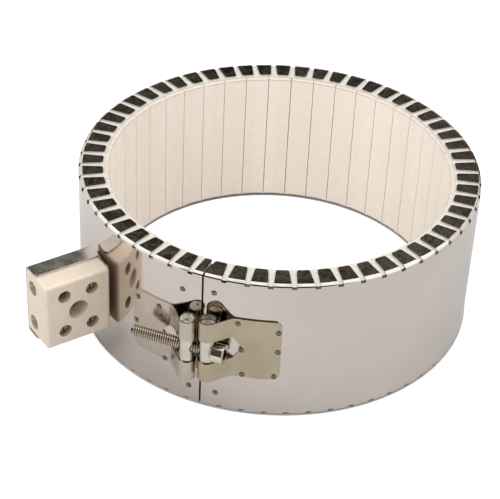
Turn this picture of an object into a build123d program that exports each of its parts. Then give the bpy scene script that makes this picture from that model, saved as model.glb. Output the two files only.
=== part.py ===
"""Ceramic band heater for a barrel or die body.

A split band of polished sheet steel holds a lining of ceramic strips. Slit tabs at both ends of
the sheet are folded in over the strips. A screw clamp on two rolled brackets closes the seam,
and a two-way ceramic terminal block stands on a folded bracket beside it.

Frame: millimetres, origin on the bore axis at mid-width, +Z along the bore, seam at -Y.
Arc lengths round the casing are measured from the seam, positive towards +X.
"""

import os
from math import asin, atan2, cos, degrees, hypot, radians, sin, sqrt

from build123d import *

os.makedirs("parts", exist_ok=True)

# Band
bore_diameter = 150.0
band_thickness = 13.0  # bore surface to outside of casing
band_width = 68.0
casing_sheet = 0.6
fold_size = 1.6  # size of the fold between wall and tabs, outside
seam_gap = 0.8

# Folded tabs at both ends of the casing
tab_count = 58  # full tabs, besides the one cut short at the seam
short_tab_width = 4.2
tab_reach = 10.7  # casing surface to tab tip
slot_width = 2.2  # between tabs at the fold
slot_tip_width = 3.1  # between tabs at their tips
tab_corner = 1.2
slot_depth = 1.7  # below the end of the band

# Ceramic lining
strip_count = 44
strip_thickness = 8.4
strip_gap = 0.15
strip_edge = 0.5  # bevel along each edge at the bore
strip_end_bevel = 1.0  # bevel at both ends at the bore
coil_hole_diameter = 4.4  # hole and coil are six-sided to keep repeated faces few
strip_lip = 1.9  # full-length part of a strip at the bore
link_recess = 1.5  # how much shorter the rest is at each end, for the coil links
blanket_thickness = 2.2
end_paper_thickness = 0.3
end_paper_inset = 1.5  # bore surface to edge of end paper

# Heating coil and its leads
coil_diameter = 3.8
coil_link = 1.0  # wire linking one strip's coil to the next
lead_diameter = 1.2

# End strips inside the casing at the seam
end_strip_leg = 10.0
end_strip_depth = 10.0

# Screw clamp
bracket_sheet = 0.6
bracket_height = 30.0
bracket_skew = 1.0  # right bracket sits this far above mid-width, left one below
plate_end = 33.3  # arc from seam to the outer edge of a bracket plate
plate_bend = 13.4  # arc from seam to the bend where the plate leaves the casing
plate_corner = 3.5
pin_diameter = 6.4
pin_spacing = 8.8
pin_height = 4.4  # casing surface to pin axis
pin_inset = 1.0  # how much shorter than the loops at each end
pin_chamfer = 0.4
loop_wrap = 285.0
notch_height = 11.2
notch_tip = 17.8  # arc from seam to the point of the notch
screw_diameter = 5.0
screw_length = 36.0
head_diameter = 8.5
head_length = 5.0
socket_width = 4.0
socket_depth = 2.6
seat_depth = 0.4  # flat milled on the right pin under the screw head

# Terminal block and bracket
block_angle = 36.0  # from the seam, towards -X
block_standoff = 1.5
block_reach = 30.2
block_height = 32.0
block_depth = 17.0
block_edge = 1.6
terminal_pitch = 12.8  # between the screws of one terminal
pole_pitch = 17.8  # between the two terminals
screw_hole_diameter = 5.8
fixing_hole_diameter = 9.0
fixing_hole_depth = 10.0
wire_depth = 11.8  # front face to the wire channels
wire_entry_diameter = 6.6
wire_entry_depth = 4.6
channel_diameter = 6.0
insert_length = 20.0
insert_bore = 4.2
terminal_screw_diameter = 3.5
terminal_screw_length = 7.0
terminal_head_diameter = 5.0
terminal_head_length = 2.0
driver_slot = 0.9
deep_screw_drop = 1.6  # how much deeper the outer upper screw is driven
fixing_screw_diameter = 4.0
fixing_head_diameter = 7.5
fixing_head_length = 2.6
nut_width = 7.0
nut_length = 3.2
screw_stub = 1.0  # fixing screw past its nut
tray_sheet = 0.8
tray_flange = 8.4
tray_corner = 2.0
tray_foot_height = 25.0
tray_foot_front = 3.0  # how far the foot reaches past the middle of the block
bush_diameter = 4.6

# Clearances
skin = 0.05  # between pieces that lie against each other round a curve
running_clearance = 0.05  # radial, between a screw and what it turns in
fit_clearance = 0.1  # between hidden pieces that nest
blanket_end_gap = 0.5  # between the blanket and the end strips
cut_margin = 1.0  # how far a cut runs past the face that it opens

# Sizes worked out from the driving dimensions
bore_radius = bore_diameter / 2
casing_radius = bore_radius + band_thickness
casing_inner = casing_radius - casing_sheet
half_width = band_width / 2
gap_angle = degrees(seam_gap / casing_radius)
band_angle = 360 - gap_angle
band_start = 270 + gap_angle / 2
strip_back = bore_radius + strip_thickness
strip_length = band_width - 2 * (casing_sheet + end_paper_thickness + 2 * skin)
blanket_outer = casing_inner - 2 * fit_clearance
blanket_inner = blanket_outer - blanket_thickness
tab_underside = half_width - casing_sheet
inner_half_width = tab_underside - fold_size
lead_angle = 270 - block_angle
block_front = block_depth / 2
channel_z = block_front - wire_depth


def polar(radius, angle):
    """A point in plan at this radius and angle."""
    return (radius * cos(radians(angle)), radius * sin(radians(angle)))


def arc_angle(arc):
    """The angle of a point this far round the casing from the seam."""
    return 270 + degrees(arc / casing_radius)


def section_plane(angle):
    """The radial plane at this angle, with x outwards and y up."""
    outward = Vector(*polar(1, angle), 0)
    return Plane(origin=(0, 0, 0), x_dir=outward, z_dir=outward.cross(Vector(0, 0, 1)))


# Directions at the terminal block: outward from the casing, and forward to the clamp
outward = Vector(*polar(1, lead_angle), 0)
forward = Vector(*polar(1, lead_angle + 90), 0)
lead_plane = Plane(origin=outward * casing_radius + forward * channel_z, x_dir=forward, z_dir=outward)

# Casing: one sheet rolled into a split band, its ends slit into tabs and folded inwards
tab_tip = casing_radius - tab_reach
slot_angle = degrees(slot_width / casing_radius)
tab_pitch = (band_angle - degrees(short_tab_width / casing_radius)) / tab_count
mid_wall = casing_radius - casing_sheet / 2
mid_tab = half_width - casing_sheet / 2
fold_step = fold_size - casing_sheet / 4

with BuildPart() as casing:
    with BuildSketch(section_plane(band_start)):
        with BuildLine():
            Polyline(
                (tab_tip, mid_tab),
                (mid_wall - fold_step, mid_tab),
                (mid_wall, mid_tab - fold_step),
                (mid_wall, fold_step - mid_tab),
                (mid_wall - fold_step, -mid_tab),
                (tab_tip, -mid_tab),
            )
        trace(line_width=casing_sheet)
    revolve(axis=Axis.Z, revolution_arc=band_angle)
    for slot_base in (half_width - slot_depth, -half_width - cut_margin):
        with BuildSketch(Plane.XY.offset(slot_base)):
            with PolarLocations(
                0,
                tab_count,
                start_angle=band_start + tab_pitch - slot_angle / 2,
                angular_range=tab_pitch * tab_count,
            ):
                Polygon(
                    (casing_radius + cut_margin, slot_width / 2),
                    (tab_tip + tab_corner, slot_tip_width / 2),
                    (tab_tip, slot_tip_width / 2 + tab_corner),
                    (tab_tip - cut_margin, slot_tip_width / 2 + tab_corner),
                    (tab_tip - cut_margin, -slot_tip_width / 2 - tab_corner),
                    (tab_tip, -slot_tip_width / 2 - tab_corner),
                    (tab_tip + tab_corner, -slot_tip_width / 2),
                    (casing_radius + cut_margin, -slot_width / 2),
                    align=None,
                )
        extrude(amount=slot_depth + cut_margin, mode=Mode.SUBTRACT)
    with BuildSketch(lead_plane.offset(cut_margin)):
        with GridLocations(0, pole_pitch, 1, 2):
            Circle(bush_diameter / 2 + fit_clearance)
    extrude(amount=-casing_sheet - 2 * cut_margin, mode=Mode.SUBTRACT)

# End strips: angle strips spot-welded inside the casing, closing the lining at the seam
strip_mid = casing_inner - skin - casing_sheet / 2
seam_face = degrees(casing_sheet / 2 / casing_inner)
with BuildPart() as right_end_strip:
    with BuildSketch(Plane.XY.offset(-inner_half_width)):
        with BuildLine():
            leg = CenterArc(
                (0, 0),
                strip_mid,
                band_start + degrees(end_strip_leg / casing_radius),
                seam_face - degrees(end_strip_leg / casing_radius),
            )
            Line(leg @ 1, polar(strip_mid - end_strip_depth, band_start + seam_face))
        trace(line_width=casing_sheet)
    extrude(amount=2 * inner_half_width)

with BuildPart() as left_end_strip:
    mirror(right_end_strip.part, about=Plane.YZ)

# Ceramic strips: wedge bars standing side by side round the bore, each with one coil hole
strip_margin = degrees((casing_sheet + 2 * fit_clearance) / bore_radius)
strip_pitch = (band_angle - 2 * strip_margin) / strip_count
first_strip = band_start + strip_margin + strip_pitch / 2
coil_radius = bore_radius + strip_thickness / 2
half_face = bore_radius * sin(radians(strip_pitch / 2)) - strip_gap / 2
half_back = strip_back * sin(radians(strip_pitch / 2)) - strip_gap / 2
half_step = half_face + (half_back - half_face) * strip_edge / strip_thickness

with BuildPart() as strip_bar:
    with BuildSketch():
        with BuildLine():
            face_half_angle = degrees(asin((half_face - strip_edge) / bore_radius))
            face = CenterArc((0, 0), bore_radius, -face_half_angle, 2 * face_half_angle)
            Polyline(
                face @ 1,
                (bore_radius + strip_edge, half_step),
                (strip_back, half_back),
                (strip_back, -half_back),
                (bore_radius + strip_edge, -half_step),
                face @ 0,
            )
        make_face()
        with Locations((coil_radius, 0)):
            RegularPolygon(coil_hole_diameter / 2, 6, mode=Mode.SUBTRACT)
    extrude(amount=strip_length / 2, both=True)
    with BuildSketch(section_plane(0)):
        for end in (strip_length / 2, -strip_length / 2):
            with Locations((bore_radius + strip_lip + strip_thickness, end)):
                Rectangle(2 * strip_thickness, 2 * link_recess)
            with Locations((bore_radius, end)):
                Rectangle(strip_end_bevel * sqrt(2), strip_end_bevel * sqrt(2), rotation=45)
    extrude(amount=strip_thickness, both=True, mode=Mode.SUBTRACT)

with BuildPart() as ceramic_strips:
    with PolarLocations(
        0, strip_count, start_angle=first_strip, angular_range=strip_pitch * strip_count
    ):
        add(strip_bar.part)

# Heating coil: runs up one strip and down the next, from behind the block round to the seam
hot_strips = strip_count - round(block_angle / strip_pitch)
coil_half = strip_length / 2 - link_recess / 4
with BuildPart() as heating_coil:
    with BuildSketch(Plane.XY.offset(-coil_half)):
        with PolarLocations(
            coil_radius, hot_strips, start_angle=first_strip, angular_range=strip_pitch * hot_strips
        ):
            RegularPolygon(coil_diameter / 2, 6)
    extrude(amount=2 * coil_half)
    for end in (0, 1):
        with BuildSketch(Plane.XY.offset((coil_half - coil_link) if end else -coil_half)):
            for index in range(end, hot_strips - 1, 2):
                start = polar(coil_radius, first_strip + index * strip_pitch)
                stop = polar(coil_radius, first_strip + (index + 1) * strip_pitch)
                with BuildLine():
                    Line(start, stop)
                trace(line_width=coil_link)
        extrude(amount=coil_link)

# Insulation blanket: fibre sheet between the ceramic strips and the casing
blanket_margin = degrees((end_strip_leg + blanket_end_gap) / casing_radius)
with BuildPart() as insulation_blanket:
    with BuildSketch(section_plane(band_start + blanket_margin)):
        with Locations(((blanket_inner + blanket_outer) / 2, 0)):
            Rectangle(blanket_outer - blanket_inner, 2 * inner_half_width)
    revolve(axis=Axis.Z, revolution_arc=band_angle - 2 * blanket_margin)
    with BuildSketch(lead_plane):
        with GridLocations(0, pole_pitch, 1, 2):
            Circle(bush_diameter / 2 + fit_clearance)
    extrude(amount=-2 * blanket_thickness, mode=Mode.SUBTRACT)

# End papers: fibre paper rings between the strips and the folded tabs
end_papers = []
paper_inner = bore_radius + end_paper_inset
paper_outer = casing_inner - fold_size - end_paper_inset
for base in (tab_underside - skin - end_paper_thickness, skin - tab_underside):
    with BuildPart() as end_paper:
        with BuildSketch(section_plane(band_start + strip_margin)):
            with Locations(((paper_inner + paper_outer) / 2, base + end_paper_thickness / 2)):
                Rectangle(paper_outer - paper_inner, end_paper_thickness)
        revolve(axis=Axis.Z, revolution_arc=band_angle - 2 * strip_margin)
    end_papers.append(end_paper)

# Clamp brackets: a plate on the casing, a ramp, and two rolled loops that hold a cross pin
loop_mid = pin_diameter / 2 + skin + bracket_sheet / 2
plate_mid = casing_radius + skin + bracket_sheet / 2
pin_x = pin_spacing / 2
pin_y = -casing_radius - pin_height
bend_x, bend_y = polar(plate_mid, arc_angle(plate_bend))
bend_to_pin = hypot(pin_x - bend_x, pin_y - bend_y)
ramp_length = sqrt(bend_to_pin**2 - loop_mid**2)
ramp_angle = degrees(atan2(pin_y - bend_y, pin_x - bend_x) + asin(loop_mid / bend_to_pin))
loop_start = ramp_angle - 90

with BuildPart() as right_clamp_bracket:
    with BuildSketch(Plane.XY.offset(bracket_skew - bracket_height / 2)):
        with BuildLine():
            plate = CenterArc(
                (0, 0), plate_mid, arc_angle(plate_end), arc_angle(plate_bend) - arc_angle(plate_end)
            )
            ramp = PolarLine(plate @ 1, ramp_length, ramp_angle)
            CenterArc((pin_x, pin_y), loop_mid, loop_start, -loop_wrap)
        trace(line_width=bracket_sheet)
    extrude(amount=bracket_height)
    plate_corners = right_clamp_bracket.edges().filter_by(
        lambda edge: edge.center().X > polar(casing_radius - bracket_sheet, arc_angle(plate_end))[0]
        and abs(edge.length - bracket_sheet) < bracket_sheet / 4
    )
    fillet(plate_corners, plate_corner)
    with BuildSketch(Plane.XZ.offset(casing_radius / 2)):
        with Locations((0, bracket_skew)):
            Polygon(
                (-pin_spacing / 4, notch_height / 2),
                (plate_bend, notch_height / 2),
                (notch_tip, 0),
                (plate_bend, -notch_height / 2),
                (-pin_spacing / 4, -notch_height / 2),
                align=None,
            )
    extrude(amount=casing_radius, mode=Mode.SUBTRACT)

with BuildPart() as left_clamp_bracket:
    with Locations((0, 0, -2 * bracket_skew)):
        add(mirror(right_clamp_bracket.part, about=Plane.YZ, mode=Mode.PRIVATE))

# Clamp pins: centred on the screw, the left one tapped for it, the right one with a seat for its head
pin_length = bracket_height - 2 * pin_inset
with BuildPart() as tapped_pin:
    with BuildSketch(Plane.XY.offset(-pin_length / 2)):
        with Locations((-pin_x, pin_y)):
            Circle(pin_diameter / 2)
    extrude(amount=pin_length)
    chamfer(tapped_pin.edges().filter_by(GeomType.CIRCLE), pin_chamfer)
    with BuildSketch(Plane.YZ.offset(-pin_x)):
        with Locations((pin_y, 0)):
            Circle(screw_diameter / 2)
    extrude(amount=pin_diameter, both=True, mode=Mode.SUBTRACT)

seat_x = pin_x + pin_diameter / 2 - seat_depth
with BuildPart() as plain_pin:
    with BuildSketch(Plane.XY.offset(-pin_length / 2)):
        with Locations((pin_x, pin_y)):
            Circle(pin_diameter / 2)
    extrude(amount=pin_length)
    chamfer(plain_pin.edges().filter_by(GeomType.CIRCLE), pin_chamfer)
    with BuildSketch(Plane.YZ.offset(pin_x)):
        with Locations((pin_y, 0)):
            Circle(screw_diameter / 2 + 4 * running_clearance)
    extrude(amount=pin_diameter, both=True, mode=Mode.SUBTRACT)
    with BuildSketch(Plane.YZ.offset(seat_x)):
        with Locations((pin_y, 0)):
            Rectangle(pin_diameter + cut_margin, head_diameter + cut_margin)
    extrude(amount=pin_diameter, mode=Mode.SUBTRACT)

# Clamp screw: socket-head cap screw drawing the pins together, head towards +X
screw_plane = Plane(origin=(seat_x, pin_y, 0), x_dir=(0, 1, 0), z_dir=(1, 0, 0))
with BuildPart() as clamp_screw:
    with BuildSketch(screw_plane.offset(-screw_length)):
        Circle(screw_diameter / 2 - running_clearance)
    extrude(amount=screw_length)
    chamfer(clamp_screw.faces().sort_by(Axis.X)[0].edges(), screw_diameter / 8)
    with BuildSketch(screw_plane):
        Circle(head_diameter / 2)
    extrude(amount=head_length)
    chamfer(clamp_screw.faces().sort_by(Axis.X)[-1].edges(), head_diameter / 20)
    with BuildSketch(screw_plane.offset(head_length)):
        RegularPolygon(socket_width / 2, 6, major_radius=False)
    extrude(amount=-socket_depth, mode=Mode.SUBTRACT)

# Terminal block: glazed block with two wire channels, four screw wells and a fixing well.
# Its plane has x towards the casing, y up and z out of the front face, towards the clamp.
block_plane = Plane(
    origin=outward * (casing_radius + block_standoff + block_reach / 2), x_dir=outward * -1, z_dir=forward
)
channel_plane = Plane(origin=block_plane.origin + forward * channel_z, x_dir=forward, z_dir=outward)

with BuildPart() as terminal_block:
    with BuildSketch(block_plane.offset(-block_front)):
        RectangleRounded(block_reach, block_height, block_edge)
    extrude(amount=block_depth)
    front_face = terminal_block.faces().sort_by(Axis(block_plane.origin, forward))[-1]
    chamfer(front_face.edges(), block_edge / 2)
    with BuildSketch(block_plane.offset(block_front)):
        with GridLocations(terminal_pitch, pole_pitch, 2, 2):
            Circle(screw_hole_diameter / 2)
    extrude(amount=-wire_depth, mode=Mode.SUBTRACT)
    with BuildSketch(block_plane.offset(block_front)):
        Circle(fixing_hole_diameter / 2)
    extrude(amount=-fixing_hole_depth, mode=Mode.SUBTRACT)
    with BuildSketch(block_plane):
        Circle(fixing_screw_diameter / 2 + fit_clearance)
    extrude(amount=-block_depth, mode=Mode.SUBTRACT)
    with BuildSketch(channel_plane):
        with GridLocations(0, pole_pitch, 1, 2):
            Circle(channel_diameter / 2)
    extrude(amount=block_reach, both=True, mode=Mode.SUBTRACT)
    for side in (1, -1):
        with BuildSketch(channel_plane.offset(side * block_reach / 2)):
            with GridLocations(0, pole_pitch, 1, 2):
                Circle(wire_entry_diameter / 2)
        extrude(amount=-side * wire_entry_depth, mode=Mode.SUBTRACT)

# Terminal inserts: brass tubes in the wire channels, tapped for their two screws
terminal_inserts = []
for pole in (1, -1):
    with BuildPart() as terminal_insert:
        with BuildSketch(channel_plane.offset(-insert_length / 2)):
            with Locations((0, pole * pole_pitch / 2)):
                Circle(channel_diameter / 2 - running_clearance)
                Circle(insert_bore / 2, mode=Mode.SUBTRACT)
        extrude(amount=insert_length)
        with BuildSketch(block_plane.offset(channel_z)):
            with Locations((0, pole * pole_pitch / 2)):
                with GridLocations(terminal_pitch, 0, 2, 1):
                    Circle(terminal_screw_diameter / 2)
        extrude(amount=channel_diameter, mode=Mode.SUBTRACT)
    terminal_inserts.append(terminal_insert)

# Terminal screws: slotted screws in the wells, the outer upper one driven deeper
tip_z = channel_z + lead_diameter / 2 + fit_clearance
terminal_screws = []
for pole in (1, -1):
    for side in (-1, 1):
        drop = deep_screw_drop if (pole, side) == (1, -1) else 0
        with BuildPart() as terminal_screw:
            with BuildSketch(block_plane.offset(tip_z - drop)):
                with Locations((side * terminal_pitch / 2, pole * pole_pitch / 2)):
                    Circle(terminal_screw_diameter / 2 - running_clearance)
            extrude(amount=terminal_screw_length)
            with BuildSketch(block_plane.offset(tip_z - drop + terminal_screw_length)):
                with Locations((side * terminal_pitch / 2, pole * pole_pitch / 2)):
                    Circle(terminal_head_diameter / 2)
            extrude(amount=terminal_head_length)
            head_top = tip_z - drop + terminal_screw_length + terminal_head_length
            with BuildSketch(block_plane.offset(head_top)):
                with Locations((side * terminal_pitch / 2, pole * pole_pitch / 2)):
                    Rectangle(driver_slot, terminal_head_diameter + cut_margin)
            extrude(amount=-driver_slot, mode=Mode.SUBTRACT)
        terminal_screws.append(terminal_screw)

# Terminal bracket: folded tray behind the block, its foot lying on the casing under it
tray_back = -block_front - skin - tray_sheet / 2
tray_top = block_height / 2 + skin + tray_sheet / 2
foot_mid = casing_radius + skin + tray_sheet / 2
foot_start = degrees(asin(tray_back / foot_mid))
foot_end = degrees(asin(tray_foot_front / foot_mid))
root_x = block_reach / 2 + block_standoff - skin - tray_sheet / 2

with BuildPart() as terminal_bracket:
    flange_plane = Plane(origin=block_plane.origin, x_dir=forward, z_dir=outward)
    with BuildSketch(flange_plane.offset(-block_reach / 2)):
        with BuildLine():
            Polyline(
                (tray_back + tray_flange, tray_top),
                (tray_back, tray_top),
                (tray_back, -tray_top),
                (tray_back + tray_flange, -tray_top),
            )
        trace(line_width=tray_sheet)
    extrude(amount=block_reach)
    flange_corners = terminal_bracket.edges().filter_by(
        lambda edge: (edge.center() - block_plane.origin).dot(forward) > tray_back + tray_sheet
        and abs(edge.length - tray_sheet) < tray_sheet / 4
    )
    fillet(flange_corners, tray_corner)
    with BuildSketch(Plane.XY.offset(-tray_foot_height / 2)):
        with BuildLine():
            foot = CenterArc((0, 0), foot_mid, lead_angle + foot_end, foot_start - foot_end)
            Line(foot @ 1, (Vector(*(foot @ 1)) + outward * (block_standoff + block_edge)))
        trace(line_width=tray_sheet)
    extrude(amount=tray_foot_height)
    with BuildSketch(lead_plane.offset(-cut_margin)):
        with GridLocations(0, pole_pitch, 1, 2):
            Circle(bush_diameter / 2 + fit_clearance)
    extrude(amount=block_standoff + cut_margin, mode=Mode.SUBTRACT)
    with BuildSketch(block_plane):
        Circle(fixing_screw_diameter / 2 + fit_clearance)
    extrude(amount=-block_depth, mode=Mode.SUBTRACT)

# Fixing screw and nut: hold the block to its bracket through the centre well
fixing_seat = block_front - fixing_hole_depth
nut_face = tray_back - tray_sheet / 2 - skin
with BuildPart() as fixing_screw:
    with BuildSketch(block_plane.offset(fixing_seat + skin)):
        Circle(fixing_head_diameter / 2)
    extrude(amount=fixing_head_length)
    with BuildSketch(block_plane.offset(fixing_seat + skin + fixing_head_length)):
        Rectangle(fixing_head_diameter + cut_margin, driver_slot)
    extrude(amount=-driver_slot, mode=Mode.SUBTRACT)
    with BuildSketch(block_plane.offset(nut_face - nut_length - screw_stub)):
        Circle(fixing_screw_diameter / 2)
    extrude(amount=fixing_seat + skin - nut_face + nut_length + screw_stub)

with BuildPart() as fixing_nut:
    with BuildSketch(block_plane.offset(nut_face - nut_length)):
        RegularPolygon(nut_width / 2, 6, major_radius=False)
        Circle(fixing_screw_diameter / 2 + skin, mode=Mode.SUBTRACT)
    extrude(amount=nut_length)

# Lead bushes: ceramic tubes that carry the leads through casing and bracket foot
lead_bushes = []
for pole in (1, -1):
    with BuildPart() as lead_bush:
        with BuildSketch(lead_plane.offset(block_standoff - 2 * fit_clearance)):
            with Locations((0, pole * pole_pitch / 2)):
                Circle(bush_diameter / 2)
                Circle(lead_diameter / 2 + fit_clearance, mode=Mode.SUBTRACT)
        extrude(amount=blanket_inner + fit_clearance - casing_radius - block_standoff)
    lead_bushes.append(lead_bush)

# Leads: the upper one meets the start of the coil, the lower one comes round from its far end
lead_run = blanket_inner - fit_clearance - lead_diameter / 2
lead_tip = casing_radius + block_standoff + wire_entry_depth + insert_length / 2
link_z = coil_half - coil_link / 2
lead_section = Plane(origin=forward * channel_z, x_dir=outward, z_dir=outward.cross(Vector(0, 0, 1)))
with BuildPart() as upper_lead:
    with BuildLine(lead_section) as upper_path:
        Polyline(
            (lead_tip, pole_pitch / 2),
            (lead_run, pole_pitch / 2),
            (lead_run, link_z),
            (coil_radius + coil_diameter / 2 + fit_clearance, link_z),
        )
    with BuildSketch(Plane(origin=upper_path.line @ 0, z_dir=upper_path.line % 0)):
        Circle(lead_diameter / 2)
    sweep(transition=Transition.RIGHT)

with BuildPart() as lower_lead:
    with BuildLine(lead_section) as lower_tail:
        Line((lead_tip, -pole_pitch / 2), (lead_run, -pole_pitch / 2))
    with BuildSketch(Plane(origin=lower_tail.line @ 0, z_dir=lower_tail.line % 0)):
        Circle(lead_diameter / 2)
    sweep()
    with BuildSketch(section_plane(first_strip)):
        with Locations((lead_run, -pole_pitch / 2)):
            Rectangle(lead_diameter, lead_diameter)
    revolve(axis=Axis.Z, revolution_arc=(lead_angle - first_strip) % 360)
    with BuildSketch(section_plane(first_strip)):
        with BuildLine():
            Polyline(
                (lead_run, -pole_pitch / 2),
                (lead_run, link_z),
                (coil_radius + coil_diameter / 2 + fit_clearance, link_z),
            )
        trace(line_width=lead_diameter)
    extrude(amount=lead_diameter / 2, both=True)

pieces = {
    "casing": casing,
    "right_end_strip": right_end_strip,
    "left_end_strip": left_end_strip,
    "ceramic_strips": ceramic_strips,
    "heating_coil": heating_coil,
    "insulation_blanket": insulation_blanket,
    "upper_end_paper": end_papers[0],
    "lower_end_paper": end_papers[1],
    "right_clamp_bracket": right_clamp_bracket,
    "left_clamp_bracket": left_clamp_bracket,
    "tapped_pin": tapped_pin,
    "plain_pin": plain_pin,
    "clamp_screw": clamp_screw,
    "terminal_block": terminal_block,
    "upper_terminal_insert": terminal_inserts[0],
    "lower_terminal_insert": terminal_inserts[1],
    "outer_upper_screw": terminal_screws[0],
    "inner_upper_screw": terminal_screws[1],
    "outer_lower_screw": terminal_screws[2],
    "inner_lower_screw": terminal_screws[3],
    "terminal_bracket": terminal_bracket,
    "fixing_screw": fixing_screw,
    "fixing_nut": fixing_nut,
    "upper_lead_bush": lead_bushes[0],
    "lower_lead_bush": lead_bushes[1],
    "upper_lead": upper_lead,
    "lower_lead": lower_lead,
}
for name, piece in pieces.items():
    piece.part.label = name
    export_step(piece.part, f"parts/{name}.step")
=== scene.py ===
"""Dresses the ceramic band heater: lining, folded casing, screw clamp and terminal block.

Metres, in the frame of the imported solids: +Z along the bore, seam and clamp at -Y.
"""

import math

import bmesh
import bpy
from mathutils import Matrix, Vector


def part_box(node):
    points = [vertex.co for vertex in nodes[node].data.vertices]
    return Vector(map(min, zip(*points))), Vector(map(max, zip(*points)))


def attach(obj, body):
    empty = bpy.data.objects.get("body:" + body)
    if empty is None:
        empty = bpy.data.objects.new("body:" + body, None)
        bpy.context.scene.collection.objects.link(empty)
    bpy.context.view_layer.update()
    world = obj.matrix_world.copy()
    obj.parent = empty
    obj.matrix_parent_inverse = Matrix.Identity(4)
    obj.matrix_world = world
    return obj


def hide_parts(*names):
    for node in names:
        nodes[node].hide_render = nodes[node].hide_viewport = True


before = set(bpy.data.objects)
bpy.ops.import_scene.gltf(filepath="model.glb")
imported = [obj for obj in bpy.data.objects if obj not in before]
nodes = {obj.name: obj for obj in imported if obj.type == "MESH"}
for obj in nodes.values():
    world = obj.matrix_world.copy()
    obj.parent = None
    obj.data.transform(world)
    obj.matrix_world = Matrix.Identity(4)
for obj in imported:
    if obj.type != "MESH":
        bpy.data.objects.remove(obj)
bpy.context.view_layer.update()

mm = 0.001

# Ceramic lining
# Fired ceramic bars, slightly wedge-shaped, stand side by side round the bore and touch the barrel.
# They are pressed dry, so the edges at the bore are broken and the ends step back for the coil links.
bore_radius = 75 * mm
band_thickness = 13 * mm
casing_radius = bore_radius + band_thickness
casing_sheet = 0.6 * mm
seam_gap = 0.8 * mm
band_angle = 2 * math.pi - seam_gap / casing_radius
band_start = -math.pi / 2 + seam_gap / casing_radius / 2
strip_count = 44
strip_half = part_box("ceramic_strips")[1].z
strip_depth = 8.4 * mm
strip_gap = 0.25 * mm
strip_lip = 1.9 * mm
link_recess = 1.5 * mm
strip_edge = 0.5 * mm
strip_end_bevel = 1.0 * mm
seam_clearance = 0.2 * mm
strip_back = bore_radius + strip_depth
strip_margin = (casing_sheet + seam_clearance) / bore_radius
strip_pitch = (band_angle - 2 * strip_margin) / strip_count
first_strip = band_start + strip_margin + strip_pitch / 2
near = 0.01 * mm
merge_distance = 0.002 * mm
clay_dark = (0.895, 0.815, 0.73)
clay_pale = (0.915, 0.84, 0.755)
white = (1.0, 1.0, 1.0)
dark_batch = (0.972, 0.967, 0.957)
# Painted shade for the strip ends: a light step, then a deeper one at the very end.
end_shade_light = (0.88, 0.87, 0.85)
end_shade_deep = (0.75, 0.74, 0.72)


def start_editing():
    """Puts the piece in hand into edit mode."""
    bpy.ops.object.mode_set(mode="EDIT")


def stop_editing():
    """Puts the piece in hand back into object mode."""
    bpy.ops.object.mode_set(mode="OBJECT")


def pick(kind, test):
    """Selects the vertices, edges or faces being edited whose corners all pass the test."""
    bpy.ops.mesh.select_mode(type=kind)
    bpy.ops.mesh.select_all(action="DESELECT")
    mesh = bmesh.from_edit_mesh(bpy.context.edit_object.data)
    for item in {"VERT": mesh.verts, "EDGE": mesh.edges, "FACE": mesh.faces}[kind]:
        corners = [item] if kind == "VERT" else item.verts
        if all(test(corner.co) for corner in corners):
            item.select_set(True)
    mesh.select_flush_mode()
    bmesh.update_edit_mesh(bpy.context.edit_object.data)


def extrude(*way):
    """Extrudes what is selected along a vector."""
    bpy.ops.mesh.extrude_region_move(TRANSFORM_OT_translate={"value": way})


def take(piece):
    """Takes this piece alone in hand."""
    bpy.ops.object.select_all(action="DESELECT")
    piece.select_set(True)
    bpy.context.view_layer.objects.active = piece


def add_block(middle, size, name):
    """A box of this size at this place, the start of a piece."""
    bpy.ops.object.select_all(action="DESELECT")
    bpy.ops.mesh.primitive_cube_add(size=1, location=middle, scale=size)
    bpy.ops.object.transform_apply(location=True, rotation=True, scale=True)
    bpy.context.object.name = name
    return bpy.context.object


def shape(piece, kind, **settings):
    """Adds a modifier to the piece and applies it."""
    take(piece)
    modifier = piece.modifiers.new(kind.lower(), kind)
    for key, value in settings.items():
        setattr(modifier, key, value)
    bpy.ops.object.modifier_apply(modifier=modifier.name)


def break_edges(piece, width, segments=2, angle=50):
    """Rounds every edge of the piece that is sharper than this angle."""
    limit = math.radians(angle)
    shape(piece, "BEVEL", width=width, segments=segments, limit_method="ANGLE", angle_limit=limit)


def smooth(piece, angle=35):
    """Points the faces outwards and shades the piece smooth up to this angle, large faces true."""
    take(piece)
    start_editing()
    bpy.ops.mesh.select_all(action="SELECT")
    bpy.ops.mesh.remove_doubles(threshold=merge_distance)
    bpy.ops.mesh.normals_make_consistent(inside=False)
    stop_editing()
    bpy.ops.object.shade_smooth_by_angle(angle=math.radians(angle))
    shape(piece, "WEIGHTED_NORMAL", keep_sharp=True)


def half_width_at(radius):
    """Half the width of a strip at this radius."""
    return radius * math.sin(strip_pitch / 2) - strip_gap / 2


lip_radius = bore_radius + strip_lip
body_half = strip_half - link_recess
lining = add_block(
    ((lip_radius + strip_back) / 2, 0, 0),
    (strip_back - lip_radius, 2 * half_width_at(strip_back), 2 * body_half),
    "ceramic_lining",
)
start_editing()
pick("FACE", lambda p: p.x < lip_radius + near)
taper = half_width_at(lip_radius) / half_width_at(strip_back)
bpy.ops.transform.resize(value=(1, taper, 1), center_override=(lip_radius, 0, 0))
extrude(-strip_lip, 0, 0)
taper = half_width_at(bore_radius) / half_width_at(lip_radius)
bpy.ops.transform.resize(value=(1, taper, 1), center_override=(bore_radius, 0, 0))
for end in (1, -1):
    pick("FACE", lambda p: p.x < lip_radius + near and p.z * end > body_half - near)
    extrude(0, 0, end * link_recess)
pick("EDGE", lambda p: p.x < bore_radius + near and abs(p.z) > body_half - near)
bpy.ops.mesh.subdivide(number_cuts=3)
for corner in bmesh.from_edit_mesh(lining.data).verts:
    if corner.co.x < bore_radius + near:
        corner.co.x = math.sqrt(bore_radius**2 - corner.co.y**2)
pick("EDGE", lambda p: p.x < bore_radius + near and abs(p.z) > strip_half - near)
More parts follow.
